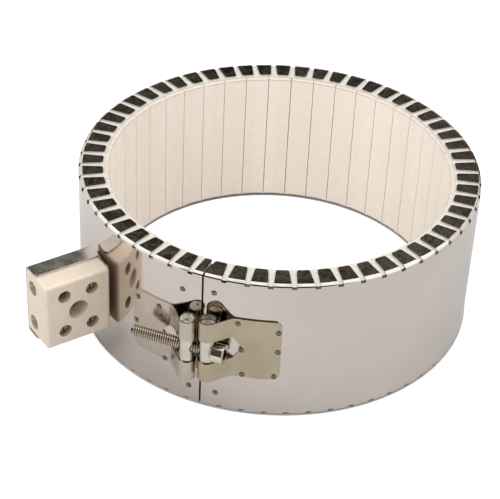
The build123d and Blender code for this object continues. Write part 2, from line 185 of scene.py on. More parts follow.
bpy.ops.mesh.bevel(offset=strip_end_bevel, segments=3, affect="EDGES")
stop_editing()
break_edges(lining, strip_edge, segments=3)
lining.rotation_euler.z = first_strip
bpy.ops.object.transform_apply(location=False, rotation=True, scale=False)
start_editing()
bpy.ops.mesh.select_all(action="SELECT")
bpy.ops.mesh.spin(
    steps=strip_count - 1,
    dupli=True,
    angle=-strip_pitch * (strip_count - 1),
    center=(0, 0, 0),
    axis=(0, 0, 1),
)
stop_editing()
smooth(lining)


def new_finish(name, **values):
    """A material with these shader values, and the makers of its nodes and of its links."""
    material = bpy.data.materials.new(name)
    material.use_nodes = True
    tree = material.node_tree
    shader = tree.nodes["Principled BSDF"]
    for socket, value in values.items():
        shader.inputs[socket.replace("_", " ")].default_value = value

    def node(kind, inputs=None, **settings):
        made = tree.nodes.new(kind)
        for key, value in settings.items():
            setattr(made, key, value)
        for socket, value in (inputs or {}).items():
            if isinstance(value, bpy.types.NodeSocket):
                tree.links.new(value, made.inputs[socket])
            else:
                made.inputs[socket].default_value = value
        return made

    def shade(socket, source):
        tree.links.new(source, shader.inputs[socket])

    return material, node, shade


def ramp(node, source, *stops):
    """A colour ramp over a source, from (place, colour) stops; returns its colour."""
    made = node("ShaderNodeValToRGB", {"Fac": source})
    for index, (place, colour) in enumerate(stops):
        stop = made.color_ramp.elements[index] if index < 2 else made.color_ramp.elements.new(place)
        stop.position = place
        stop.color = (*colour, 1)
    return made.outputs["Color"]


def own_place(node):
    """The piece's own coordinates."""
    return node("ShaderNodeTexCoord").outputs["Object"]


def noise(node, cells, detail):
    """Noise over the piece's own coordinates, with so many cells to the metre."""
    made = node("ShaderNodeTexNoise", {"Vector": own_place(node), "Scale": cells, "Detail": detail})
    return made.outputs["Fac"]


def grey(value):
    """The grey of this value."""
    return (value, value, value)


def cloud(node, shade, socket, low, high, cells, detail=3):
    """Varies a socket between two colours, or two plain numbers, with so many cells to the metre."""
    if not isinstance(low, tuple):
        low, high = grey(low), grey(high)
    shade(socket, ramp(node, noise(node, cells, detail), (0.3, low), (0.7, high)))


def roughen(node, shade, height, cells, detail=3, strength=1.0):
    """Bump of this height, with so many cells to the metre."""
    source = noise(node, cells, detail)
    bump = node("ShaderNodeBump", {"Height": source, "Distance": height, "Strength": strength})
    shade("Normal", bump.outputs["Normal"])


def multiply(node, first, second):
    """One colour times another."""
    inputs = {0: 1.0, 6: first, 7: second}
    return node("ShaderNodeMix", inputs, data_type="RGBA", blend_type="MULTIPLY").outputs[2]


fired_ceramic, node, shade = new_finish("fired_ceramic", Roughness=0.62, Specular_IOR_Level=0.35)
axes = node("ShaderNodeSeparateXYZ", {"Vector": own_place(node)})
turn = node("ShaderNodeMath", {0: axes.outputs["Y"], 1: axes.outputs["X"]}, operation="ARCTAN2")
start = 4 * math.pi - first_strip + strip_pitch / 2
shift = node("ShaderNodeMath", {0: turn.outputs[0], 1: start})
count = node("ShaderNodeMath", {0: shift.outputs[0], 1: strip_pitch}, operation="DIVIDE")
number = node("ShaderNodeMath", {0: count.outputs[0]}, operation="FLOOR")
batch = node("ShaderNodeTexWhiteNoise", {"W": number.outputs[0]}, noise_dimensions="1D")
clay = ramp(node, noise(node, cells=300, detail=5), (0.35, clay_dark), (0.65, clay_pale))
tone = ramp(node, batch.outputs["Value"], (0.0, dark_batch), (1.0, white))
# Painted shade: the base colour darkens over the last millimetre of each strip end, so the tops show no
# brighter than the faces.
height = node("ShaderNodeMath", {0: axes.outputs["Z"]}, operation="ABSOLUTE")
end = node("ShaderNodeMapRange", {"Value": height.outputs[0]})
end.inputs["From Min"].default_value = strip_half - 1.1 * strip_end_bevel
end.inputs["From Max"].default_value = strip_half - near
painted_end_shade = ramp(node, end.outputs["Result"], (0.0, white), (1.0, end_shade_deep), (0.4, end_shade_light))
shade("Base Color", multiply(node, multiply(node, clay, tone), painted_end_shade))
roughen(node, shade, 0.03 * mm, cells=2200, detail=4)
lining.data.materials.append(fired_ceramic)
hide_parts("ceramic_strips")
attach(lining, "heater")

# Heating coil and fibre blanket
# A coil of chrome wire runs through the strips, and two leads take it out through ceramic bushes.
# Behind the strips lies a blanket of soft white fibre, held in by the casing.
fibre_dark = (0.58, 0.555, 0.505)
fibre_pale = (0.67, 0.645, 0.595)
scaled_wire = (0.16, 0.14, 0.13)
bare_wire = (0.30, 0.27, 0.25)
fibre, node, shade = new_finish("ceramic_fibre", Roughness=0.95, Specular_IOR_Level=0.1)
cloud(node, shade, "Base Color", fibre_dark, fibre_pale, cells=700, detail=6)
roughen(node, shade, 0.15 * mm, cells=1800, detail=6)
heat_wire, node, shade = new_finish("resistance_wire", Metallic=1.0, Roughness=0.4)
cloud(node, shade, "Base Color", scaled_wire, bare_wire, cells=900)
for name, finish, slot in (
    ("heating_coil", heat_wire, "resistance_wire"),
    ("upper_lead", heat_wire, "resistance_wire"),
    ("lower_lead", heat_wire, "resistance_wire"),
    ("insulation_blanket", fibre, "fibre"),
    ("upper_lead_bush", fired_ceramic, "ivory_ceramic"),
    ("lower_lead_bush", fired_ceramic, "ivory_ceramic"),
):
    nodes[name].data.materials.clear()
    nodes[name].data.materials.append(finish)

# Casing
# One strip of polished stainless sheet, slit along both edges into tabs that are folded inwards.
# It is laid out flat, one tab at a time, and then rolled round the lining to the seam.
half_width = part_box("casing")[1].z
tab_count = 58
short_tab = 4.2 * mm
tab_reach = 10.7 * mm
tab_corner = 0.96 * mm
slot_width = 2.2 * mm
slot_tip_width = 3.1 * mm
slot_depth = 1.7 * mm
fold_bend = 0.6 * mm
shoulder_width = 1.4 * mm
shoulder_drop = 0.5 * mm
shoulder_bend = 0.7 * mm
blank_length = band_angle * casing_radius
tab_pitch = (blank_length - short_tab) / tab_count
tab_width = tab_pitch - slot_width
slot_foot = half_width - slot_depth
sheet_dark = (0.68, 0.61, 0.56)
sheet_pale = (0.72, 0.65, 0.60)
sheet_wave = 0.5 * mm
tab_dent = 0.5 * mm


def add_sheet(low_x, high_x, low_z, high_z, columns):
    """An upright flat sheet, facing -Y, in so many columns."""
    bpy.ops.mesh.primitive_grid_add(
        x_subdivisions=columns,
        y_subdivisions=1,
        size=1,
        location=((low_x + high_x) / 2, 0, (low_z + high_z) / 2),
        rotation=(math.pi / 2, 0, 0),
    )
    sheet = bpy.context.object
    sheet.scale = (high_x - low_x, high_z - low_z, 1)
    bpy.ops.object.transform_apply(location=True, rotation=True, scale=True)
    return sheet


def join(first, *others):
    """Joins the other pieces to the first."""
    take(first)
    for piece in others:
        piece.select_set(True)
    bpy.ops.object.join()


bpy.ops.object.select_all(action="DESELECT")
slot_web = add_sheet(tab_width, tab_pitch, 0, slot_foot, columns=2)
casing = add_sheet(0, tab_width, 0, slot_foot, columns=6)
join(casing, slot_web)
casing.name = "folded_casing"
start_editing()
bpy.ops.mesh.select_all(action="SELECT")
bpy.ops.mesh.remove_doubles(threshold=near)
pick("EDGE", lambda p: p.z > slot_foot - near and p.x < tab_width + near)
extrude(0, 0, slot_depth - shoulder_drop)
extrude(0, shoulder_width, shoulder_drop)
extrude(0, tab_reach - shoulder_width, 0)
tip_shrink = 1 - tab_reach / casing_radius
tip_width = tab_pitch * tip_shrink - slot_tip_width
tip_spread = tip_width / tip_shrink / tab_width
tip_middle = (tab_width / 2, tab_reach, half_width)
bpy.ops.transform.resize(value=(tip_spread, 1, 1), center_override=tip_middle)
pick("VERT", lambda p: p.y > tab_reach - near and abs(p.x - tab_width / 2) > tab_width * 0.4)
bpy.ops.mesh.bevel(offset=tab_corner, segments=4, affect="VERTICES")
pick("EDGE", lambda p: abs(p.y - shoulder_width) < near)
bpy.ops.mesh.bevel(offset=shoulder_bend, segments=4, affect="EDGES")
pick("EDGE", lambda p: p.y < near and p.z > half_width - shoulder_drop - near)
bpy.ops.mesh.bevel(offset=fold_bend, segments=5, affect="EDGES")
stop_editing()
shape(casing, "MIRROR", use_axis=(False, False, True), merge_threshold=near)
shape(
    casing,
    "ARRAY",
    count=tab_count + 1,
    use_relative_offset=False,
    use_constant_offset=True,
    constant_offset_displace=(tab_pitch, 0, 0),
    use_merge_vertices=True,
    merge_threshold=near,
)
start_editing()
bpy.ops.mesh.select_all(action="SELECT")
bpy.ops.mesh.bisect(plane_co=(blank_length, 0, 0), plane_no=(1, 0, 0), clear_outer=True)
stop_editing()
shape(casing, "SOLIDIFY", thickness=casing_sheet, offset=-1, use_even_offset=True)
shape(casing, "SIMPLE_DEFORM", deform_method="BEND", deform_axis="Z", angle=band_angle)
casing.location.y = -casing_radius
bpy.ops.object.transform_apply(location=True, rotation=False, scale=False)
casing.rotation_euler.z = seam_gap / casing_radius / 2
bpy.ops.object.transform_apply(location=False, rotation=True, scale=False)
smooth(casing, 40)

polished_sheet, node, shade = new_finish("polished_stainless", Metallic=1.0)
cloud(node, shade, "Base Color", sheet_dark, sheet_pale, cells=35, detail=2)
cloud(node, shade, "Roughness", 0.05, 0.10, cells=60, detail=4)
wave = node("ShaderNodeBump", {"Height": noise(node, cells=26, detail=1)})
wave.inputs["Distance"].default_value = sheet_wave
wave.inputs["Strength"].default_value = 0.25
axes = node("ShaderNodeSeparateXYZ", {"Vector": own_place(node)})
height = node("ShaderNodeMath", {0: axes.outputs["Z"]}, operation="ABSOLUTE")
on_tab = node("ShaderNodeMapRange", {"Value": height.outputs[0]})
on_tab.inputs["From Min"].default_value = half_width - 0.2 * mm
on_tab.inputs["From Max"].default_value = half_width - 0.02 * mm
folded = noise(node, cells=120, detail=3)
dents = node("ShaderNodeMath", {0: folded, 1: on_tab.outputs["Result"]}, operation="MULTIPLY")
dented = node("ShaderNodeBump", {"Height": dents.outputs[0], "Normal": wave.outputs["Normal"]})
dented.inputs["Distance"].default_value = tab_dent
dented.inputs["Strength"].default_value = 0.8
shade("Normal", dented.outputs["Normal"])
casing.data.materials.append(polished_sheet)
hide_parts("casing")
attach(casing, "heater")
for name in ("right_end_strip", "left_end_strip"):
    nodes[name].data.materials.clear()
    nodes[name].data.materials.append(polished_sheet)

# End papers
# Fibre paper laid on the ends of the strips before the tabs are folded down on it.
# Its outer edge is pressed down by the fold, so it closes the slots right up to the casing.
paper_thickness = 0.3 * mm
paper_gap = 0.05 * mm
paper_clearance = 0.3 * mm
paper_steps = 180
paper_inner = bore_radius + 1.5 * mm
paper_bend = casing_radius - shoulder_width - paper_clearance
paper_outer = casing_radius - casing_sheet - paper_clearance
paper_z = half_width - casing_sheet - paper_gap - paper_thickness / 2
paper_margin = 1.5 * mm / casing_radius


def add_edge(place, height, name):
    """An upright edge of this height at this place, ready to extrude; leaves it in edit mode."""
    bpy.ops.object.select_all(action="DESELECT")
    bpy.ops.mesh.primitive_plane_add(
        size=height, location=(place.x - height / 2, place.y, place.z), rotation=(math.pi / 2, 0, 0)
    )
    bpy.ops.object.transform_apply(location=True, rotation=True, scale=True)
    bpy.context.object.name = name
    start_editing()
    pick("VERT", lambda p: p.x < place.x - height / 2)
    bpy.ops.mesh.delete(type="VERT")
    bpy.ops.mesh.select_all(action="SELECT")
    return bpy.context.edit_object


def roll(steps, angle, x=0, y=0):
    """Spins what is selected about an upright axis, clockwise from above."""
    bpy.ops.mesh.spin(steps=steps, angle=angle, center=(x, y, 0), axis=(0, 0, 1))


upper_paper = add_edge(Vector((0, 0, 0)), paper_bend - paper_inner, "upper_fibre_paper")
bpy.ops.transform.rotate(value=math.pi / 2, orient_axis="Y", center_override=(0, 0, 0))
bpy.ops.transform.translate(value=((paper_bend + paper_inner) / 2, 0, paper_z))
pick("VERT", lambda p: p.x > paper_bend - near)
extrude(paper_outer - paper_bend, 0, -shoulder_drop / 2)
stop_editing()
upper_paper.rotation_euler.z = band_start + paper_margin
bpy.ops.object.transform_apply(location=False, rotation=True, scale=False)
start_editing()
bpy.ops.mesh.select_all(action="SELECT")
roll(paper_steps, 2 * paper_margin - band_angle)
stop_editing()
shape(upper_paper, "SOLIDIFY", thickness=paper_thickness, offset=0)
bpy.ops.object.duplicate()
lower_paper = bpy.context.object
lower_paper.name = "lower_fibre_paper"
lower_paper.scale.z = -1
bpy.ops.object.transform_apply(location=False, rotation=False, scale=True)
for paper_ring, name in ((upper_paper, "upper_end_paper"), (lower_paper, "lower_end_paper")):
    smooth(paper_ring)
    paper_ring.data.materials.append(fibre)
    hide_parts(name)
    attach(paper_ring, "heater")

# Clamp brackets
# Two pieces of thin sheet, each spot-welded to the casing by its plate and rolled round a cross pin.
# The middle of the roll is notched out to a point, so that the screw can reach the pins.
bracket_sheet = 0.6 * mm
bracket_height = 30 * mm
bracket_skew = 1.0 * mm
plate_end = 33.3 * mm
plate_bend = 13.4 * mm
plate_corner = 3.5 * mm
corner_arc = plate_corner + 1 * mm
bend_radius = 1.2 * mm
skin = 0.05 * mm
sheet_edge = 0.12 * mm
pin_radius = 3.2 * mm
pin_x = 4.4 * mm
pin_y = -casing_radius - 4.4 * mm
loop_wrap = math.radians(285)
notch_half = 5.6 * mm
notch_tip = 17.8 * mm
punch_depth = 24 * mm
plate_radius = casing_radius + skin + bracket_sheet / 2
loop_radius = pin_radius + skin + bracket_sheet / 2
right_dark = (0.465, 0.39, 0.275)
right_pale = (0.56, 0.48, 0.355)
# Painted light: the left bracket, the same sheet as the right, is given paler colours for the brighter
# reflection it shows.
left_lit_dark = (0.53, 0.455, 0.38)
left_lit_pale = (0.615, 0.535, 0.455)


def on_band(arc, radius=casing_radius, z=0.0):
    """The point this far round the casing from the seam, towards +X."""
    angle = arc / casing_radius - math.pi / 2
    return Vector((radius * math.cos(angle), radius * math.sin(angle), z))


def cut(piece, cutter):
    """Cuts the cutter out of the piece and throws the cutter away."""
    shape(piece, "BOOLEAN", object=cutter, operation="DIFFERENCE", solver="EXACT")
    bpy.data.objects.remove(cutter)


edge_place = on_band(plate_end, plate_radius, bracket_skew)
right_bracket = add_edge(edge_place, bracket_height, "right_rolled_bracket")
roll(1, corner_arc / casing_radius)
roll(8, (plate_end - plate_bend - corner_arc) / casing_radius)
bend = on_band(plate_bend, plate_radius)
bend_to_pin = math.hypot(pin_x - bend.x, pin_y - bend.y)
ramp_length = math.sqrt(bend_to_pin**2 - loop_radius**2)
ramp_angle = math.atan2(pin_y - bend.y, pin_x - bend.x) + math.asin(loop_radius / bend_to_pin)
extrude(ramp_length * math.cos(ramp_angle), ramp_length * math.sin(ramp_angle), 0)
roll(40, loop_wrap, pin_x, pin_y)
pick("VERT", lambda p: (p.xy - edge_place.xy).length < near)
bpy.ops.mesh.bevel(offset=plate_corner, segments=6, affect="VERTICES")
pick("EDGE", lambda p: (p.xy - bend.xy).length < near)
bpy.ops.mesh.bevel(offset=bend_radius, segments=4, affect="EDGES")
stop_editing()
shape(right_bracket, "SOLIDIFY", thickness=bracket_sheet, offset=0, use_even_offset=True)
notch = add_block(
    ((plate_bend - pin_x / 2) / 2, pin_y, bracket_skew),
    (plate_bend + pin_x / 2, punch_depth, 2 * notch_half),
    "notch_punch",
)
start_editing()
pick("FACE", lambda p: p.x > plate_bend - near)
extrude(notch_tip - plate_bend, 0, 0)
bpy.ops.transform.resize(value=(1, 1, 0), center_override=(notch_tip, pin_y, bracket_skew))
bpy.ops.mesh.select_all(action="SELECT")
bpy.ops.mesh.remove_doubles(threshold=near)
bpy.ops.mesh.normals_make_consistent(inside=False)
stop_editing()
smooth(right_bracket)
cut(right_bracket, notch)
break_edges(right_bracket, sheet_edge)
bpy.ops.object.duplicate()
left_bracket = bpy.context.object
left_bracket.name = "left_rolled_bracket"
left_bracket.scale.x = -1
left_bracket.location.z = -2 * bracket_skew
bpy.ops.object.transform_apply(location=True, rotation=True, scale=True)

# The left pair of colours is painted light, paler than the right pair on the same steel.
for bracket, name, low, high in (
    (right_bracket, "right_clamp_bracket", right_dark, right_pale),
    (left_bracket, "left_clamp_bracket", left_lit_dark, left_lit_pale),
):
    smooth(bracket)
    clamp_sheet, node, shade = new_finish(name + "_sheet", Metallic=1.0)
    cloud(node, shade, "Base Color", low, high, cells=70)
    cloud(node, shade, "Roughness", 0.14, 0.26, cells=160, detail=4)
    roughen(node, shade, 0.3 * mm, cells=60, detail=2, strength=0.3)
    bracket.data.materials.append(clamp_sheet)
    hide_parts(name)
    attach(bracket, "heater")

# Spot welds
# Small rings left where the welding electrodes pressed the bracket plates on to the casing.
# Four more stand beside the seam, over the strips behind it; the heat has tinted the steel.
weld_radius = 1.3 * mm
weld_rim = 0.28 * mm
weld_steps = ((0.25, 1.0), (0.40, -0.75), (0.35, -0.1))
plate_face = casing_radius + skin + bracket_sheet
right_welds = ((15.3, 13.6), (31.9, 10.6), (32.0, 0.7), (31.0, -12.3), (17.9, -12.6), (17.2, 0.2))
left_welds = ((-30.8, 10.2), (-19.6, 10.8), (-18.7, 6.1), (-31.8, -2.6), (-16.5, -15.4))
seam_welds = ((-8.9, 23.8), (4.9, 26.3), (-5.2, -25.6), (6.8, -25.6))
burnt_steel = (0.15, 0.115, 0.08)
tinted_steel = (0.30, 0.25, 0.19)

bpy.ops.object.select_all(action="DESELECT")
bpy.ops.mesh.primitive_circle_add(vertices=24, radius=weld_radius, fill_type="NGON")
weld = bpy.context.object
start_editing()
for inset, rise in weld_steps:
    bpy.ops.mesh.inset(thickness=inset * mm)
    bpy.ops.transform.translate(value=(0, 0, rise * weld_rim))
bpy.ops.mesh.poke()
stop_editing()
welds = []
for spots, radius in ((right_welds, plate_face), (left_welds, plate_face), (seam_welds, casing_radius)):
    for arc, z in spots:
        spot = weld.copy()
        spot.data = weld.data.copy()
        bpy.context.collection.objects.link(spot)
        spot.location = on_band(arc * mm, radius - near, z * mm)
        spot.rotation_euler = (math.pi / 2, 0, arc * mm / casing_radius)
        welds.append(spot)
bpy.data.objects.remove(weld)
join(*welds)
weld_marks = bpy.context.object
weld_marks.name = "spot_welds"
bpy.ops.object.transform_apply(location=True, rotation=True, scale=True)
bpy.ops.object.shade_smooth_by_angle(angle=math.radians(40))
weld_tint, node, shade = new_finish("weld_nugget", Metallic=1.0, Roughness=0.22)
cloud(node, shade, "Base Color", burnt_steel, tinted_steel, cells=900, detail=2)
weld_marks.data.materials.append(weld_tint)
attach(weld_marks, "heater")

# Cross pins
# Two turned, plated steel pins in the rolled loops; the left one is tapped for the screw.
# The right one is drilled through and has a flat milled on it, which the screw head bears on.
pin_length = bracket_height - 2 * mm
pin_chamfer = 0.4 * mm
pin_dish = 0.6 * mm
screw_radius = 2.5 * mm
drill_radius = screw_radius + 0.1 * mm
seat_cut = 0.4 * mm
seat_height = 9.5 * mm
seat_x = pin_x + pin_radius - seat_cut
zinc_dark = (0.67, 0.65, 0.555)
zinc_pale = (0.75, 0.73, 0.63)
saw_mark = (0.32, 0.27, 0.20)
sawn_steel = (0.95, 0.88, 0.78)


def add_rod(middle, radius, length, name, direction="Z", sides=48):
    """A round or many-sided rod along X or Z, the start of a piece or a cutter."""
    turned = (0, math.pi / 2, 0) if direction == "X" else (0, 0, 0)
    bpy.ops.object.select_all(action="DESELECT")
    bpy.ops.mesh.primitive_cylinder_add(
        vertices=sides, radius=radius, depth=length, location=middle, rotation=turned
    )
    bpy.ops.object.transform_apply(location=True, rotation=True, scale=True)
    bpy.context.object.name = name
    return bpy.context.object


plated_steel, node, shade = new_finish("zinc_plated_steel", Metallic=1.0)
cloud(node, shade, "Base Color", zinc_dark, zinc_pale, cells=250)
cloud(node, shade, "Roughness", 0.12, 0.24, cells=500, detail=4)
roughen(node, shade, 0.02 * mm, cells=1500)
faced_steel, node, shade = new_finish("faced_steel", Metallic=1.0)
scratches = noise(node, cells=750, detail=2)
shade("Base Color", ramp(node, scratches, (0.37, saw_mark), (0.5, sawn_steel)))
cloud(node, shade, "Roughness", 0.45, 0.65, cells=1200)
roughen(node, shade, 0.05 * mm, cells=1600)
for side, name, cad_name in ((-1, "left_cross_pin", "tapped_pin"), (1, "right_cross_pin", "plain_pin")):
    pin = add_rod((side * pin_x, pin_y, 0), pin_radius, pin_length, name)
    start_editing()
    for end in (1, -1):
        pick("EDGE", lambda p: p.z * end > pin_length / 2 - near)
        bpy.ops.mesh.bevel(offset=pin_chamfer, segments=3, affect="EDGES")
        pick("FACE", lambda p: p.z * end > pin_length / 2 - near)
        bpy.ops.mesh.inset(thickness=pin_dish)
        bpy.ops.mesh.inset(thickness=pin_dish / 3)
        bpy.ops.transform.translate(value=(0, 0, -end * pin_dish / 3))
    stop_editing()
    cut(pin, add_rod((side * pin_x, pin_y, 0), drill_radius, 4 * pin_radius, "cross_drill", "X"))
    if side > 0:
        mill_size = (2 * pin_radius, 4 * pin_radius, seat_height)
        cut(pin, add_block((seat_x + pin_radius, pin_y, 0), mill_size, "seat_mill"))
    smooth(pin)
    pin.data.materials.append(plated_steel)
    pin.data.materials.append(faced_steel)
    for face in pin.data.polygons:
        face.material_index = 1 if abs(face.center.z) > pin_length / 2 - pin_chamfer else 0
    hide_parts(cad_name)
    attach(pin, "heater")

# Clamp screw
# A plated steel cap screw with a hexagon socket, its head forged and its thread rolled.
# It passes through the right pin, turns in the tapped left one and so draws the seam together.
screw_length = 36 * mm
head_radius = 4.25 * mm
head_length = 5 * mm
head_edge = 0.6 * mm
socket_radius = 4 * mm / math.sqrt(3)
socket_depth = 2.6 * mm
socket_edge = 0.15 * mm
punch_spare = 1 * mm
thread_pitch = 1.0 * mm
thread_depth = 0.6 * mm
thread_sides = 28
crest = thread_pitch / 8
flank = (thread_pitch - 2 * crest) / 2
thread_radius = screw_radius - 0.05 * mm
root_radius = thread_radius - thread_depth
tip_radius = root_radius - 0.1 * mm
# Painted shade: the thread roots are coloured darker than the crests.
thread_root_shade = (0.33, 0.275, 0.21)
bright_crest = (0.74, 0.67, 0.565)

head_middle = (seat_x + head_length / 2, pin_y, 0)
clamp_screw = add_rod(head_middle, head_radius, head_length, "cap_screw", "X", 64)
start_editing()
pick("EDGE", lambda p: p.x > seat_x + head_length - near)
bpy.ops.mesh.bevel(offset=head_edge, segments=4, affect="EDGES")
stop_editing()
socket_middle = (seat_x + head_length - socket_depth / 2 + punch_spare / 2, pin_y, 0)
cut(clamp_screw, add_rod(socket_middle, socket_radius, socket_depth + punch_spare, "hex_punch", "X", 6))
break_edges(clamp_screw, socket_edge)

bpy.ops.object.select_all(action="DESELECT")
bpy.ops.mesh.primitive_circle_add(vertices=5, radius=screw_radius, fill_type="NOTHING")
thread = bpy.context.object
profile = (
    (root_radius, 0),
    (root_radius, crest),
    (thread_radius, crest + flank),
    (thread_radius, 2 * crest + flank),
    (root_radius, thread_pitch),
)
for corner, (radius, rise) in zip(thread.data.vertices, profile):
    corner.co = (radius, 0, rise)
start_editing()
pick("EDGE", lambda p: abs(p.z - thread_pitch / 2) > thread_pitch / 2 - near)
bpy.ops.mesh.delete(type="EDGE_FACE")
stop_editing()
shape(
    thread,
    "SCREW",
    angle=2 * math.pi,
    screw_offset=thread_pitch,
    iterations=int(screw_length / thread_pitch) - 1,
    steps=thread_sides,
    axis="Z",
)
for corner in thread.data.vertices:
    reach = math.hypot(corner.co.x, corner.co.y)
    limit = tip_radius + corner.co.z
    if reach > limit:
        corner.co.x *= limit / reach
        corner.co.y *= limit / reach
thread.rotation_euler.y = math.pi / 2
thread.location = (seat_x - screw_length, pin_y, 0)
bpy.ops.object.transform_apply(location=True, rotation=True, scale=True)
core_middle = (seat_x - screw_length / 2, pin_y, 0)
core = add_rod(core_middle, root_radius, screw_length, "core", "X", thread_sides)
join(clamp_screw, thread, core)
smooth(clamp_screw, 32)
# Painted shade: the base colour darkens with depth from the crests into the thread roots.
root_shaded_steel, node, shade = new_finish("plated_steel_painted_root_shade", Metallic=1.0, Roughness=0.1)
axis = node("ShaderNodeMapping", {"Vector": own_place(node)})
axis.inputs["Location"].default_value = (0, -pin_y, 0)
axis.inputs["Scale"].default_value = (0, 1, 1)
reach = node("ShaderNodeVectorMath", {0: axis.outputs["Vector"]}, operation="LENGTH")
depth = node("ShaderNodeMapRange", {"Value": reach.outputs["Value"]})
depth.inputs["From Min"].default_value = root_radius
depth.inputs["From Max"].default_value = thread_radius
shade("Base Color", ramp(node, depth.outputs["Result"], (0.1, thread_root_shade), (0.8, bright_crest)))
clamp_screw.data.materials.append(root_shaded_steel)
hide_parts("clamp_screw")
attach(clamp_screw, "clamp_screw")

# Terminal bracket
# A folded tray of polished sheet with a flange over the top and bottom of the block.
# Its foot lies on the casing and is welded to it; the nut at the back holds the block.
block_angle = math.radians(36)
block_standoff = 1.5 * mm
block_reach = 30.2 * mm
block_height = 32 * mm
block_depth = 17 * mm
tray_sheet = 0.8 * mm
tray_flange = 8.4 * mm
tray_corner = 2.0 * mm
tray_fold = 1.2 * mm
tray_foot_front = 3.0 * mm
foot_height = 25 * mm
foot_lap = 1.6 * mm
fixing_hole = 2.1 * mm
lead_angle = -math.pi / 2 - block_angle
outward = Vector((math.cos(lead_angle), math.sin(lead_angle), 0))
forward = Vector((-math.sin(lead_angle), math.cos(lead_angle), 0))
up = Vector((0, 0, 1))
stand = Matrix((-outward, up, forward)).transposed().to_4x4()
stand.translation = outward * (casing_radius + block_standoff + block_reach / 2)
tray_back = -block_depth / 2 - skin - tray_sheet / 2
tray_top = block_height / 2 + skin + tray_sheet / 2
foot_radius = casing_radius + skin + tray_sheet / 2
foot_low = lead_angle + math.asin(tray_back / foot_radius)
foot_high = lead_angle + math.asin(tray_foot_front / foot_radius)
tray_dark = (0.58, 0.52, 0.465)
tray_pale = (0.65, 0.59, 0.53)


def put_up(piece):
    """Stands a piece, made with x to the casing, y up and z to the front, at the terminal."""
    take(piece)
    piece.matrix_world = stand
    bpy.ops.object.transform_apply(location=True, rotation=True, scale=True)


tray = add_edge(Vector((0, 0, 0)), block_reach, "terminal_tray")
bpy.ops.transform.rotate(value=math.pi / 2, orient_axis="Y", center_override=(0, 0, 0))
bpy.ops.transform.translate(value=(0, tray_top, tray_back + tray_flange))
extrude(0, 0, -tray_flange)
extrude(0, -2 * tray_top, 0)
extrude(0, 0, tray_flange)
pick("VERT", lambda p: p.z > tray_back + tray_flange - near)
bpy.ops.mesh.bevel(offset=tray_corner, segments=5, affect="VERTICES")
pick("EDGE", lambda p: abs(p.y) > tray_top - near and p.z < tray_back + near)
bpy.ops.mesh.bevel(offset=tray_fold, segments=4, affect="EDGES")
stop_editing()
shape(tray, "SOLIDIFY", thickness=tray_sheet, offset=0, use_even_offset=True)
smooth(tray)
cut(tray, add_rod((0, 0, tray_back), fixing_hole, 5 * tray_sheet, "screw_drill"))
put_up(tray)
foot_place = Vector((foot_radius * math.cos(foot_high), foot_radius * math.sin(foot_high), 0))
tray_foot = add_edge(foot_place, foot_height, "tray_foot")
roll(8, foot_high - foot_low)
extrude(*(outward * (block_standoff + foot_lap)))
stop_editing()
shape(tray_foot, "SOLIDIFY", thickness=tray_sheet, offset=0, use_even_offset=True)
join(tray, tray_foot)
break_edges(tray, sheet_edge)
smooth(tray)
tray_steel, node, shade = new_finish("folded_stainless", Metallic=1.0)
cloud(node, shade, "Base Color", tray_dark, tray_pale, cells=80)
cloud(node, shade, "Roughness", 0.22, 0.34, cells=200, detail=4)
roughen(node, shade, 0.3 * mm, cells=50, detail=2, strength=0.25)
tray.data.materials.append(tray_steel)
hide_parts("terminal_bracket")
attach(tray, "heater")

# Terminal block
# A block of glazed porcelain, pressed in a mould, with four screw wells and a deeper fixing well.
# Two wire ways run through it behind the wells, and a screw down the fixing well holds it to the tray.
side_edge = 1.6 * mm
front_edge = 1.52 * mm
rim = 0.35 * mm
terminal_pitch = 12.8 * mm
pole_pitch = 17.8 * mm
well_radius = 2.9 * mm
fixing_radius = 4.5 * mm
fixing_depth = 10 * mm
wire_depth = 11.8 * mm
wire_radius = 3.3 * mm
wire_entry = 4.6 * mm
channel_radius = 3.0 * mm
front = block_depth / 2
channel_z = front - wire_depth
glaze_dark = (0.685, 0.57, 0.455)
glaze_pale = (0.74, 0.625, 0.51)
# Painted shade for the screw wells, laid over their unglazed colour.
well_shade_dark = (0.37, 0.285, 0.185)
well_shade_pale = (0.48, 0.385, 0.265)

block = add_block((0, 0, 0), (block_reach, block_height, block_depth), "porcelain_block")
start_editing()
pick("EDGE", lambda p: True)
mesh = bmesh.from_edit_mesh(block.data)
for edge in mesh.edges:
    edge.select_set(abs(edge.verts[0].co.z - edge.verts[1].co.z) > near)
bmesh.update_edit_mesh(block.data)
bpy.ops.mesh.bevel(offset=side_edge, segments=5, affect="EDGES")
pick("EDGE", lambda p: p.z > front - near)
bpy.ops.mesh.bevel(offset=front_edge, segments=6, affect="EDGES")
stop_editing()
for x in (-terminal_pitch / 2, terminal_pitch / 2):
    for y in (-pole_pitch / 2, pole_pitch / 2):
        cut(block, add_rod((x, y, front), well_radius, 2 * wire_depth, "well_pin", sides=40))
cut(block, add_rod((0, 0, front), fixing_radius, 2 * fixing_depth, "fixing_pin"))
cut(block, add_rod((0, 0, -front), fixing_hole, block_depth, "fixing_drill", sides=32))
for y in (-pole_pitch / 2, pole_pitch / 2):
    cut(block, add_rod((0, y, channel_z), channel_radius, 2 * block_reach, "wire_pin", "X", 40))
    for end in (-1, 1):
        mouth = (end * block_reach / 2, y, channel_z)
        cut(block, add_rod(mouth, wire_radius, 2 * wire_entry, "entry_pin", "X", 40))
break_edges(block, rim, segments=3, angle=55)
smooth(block)
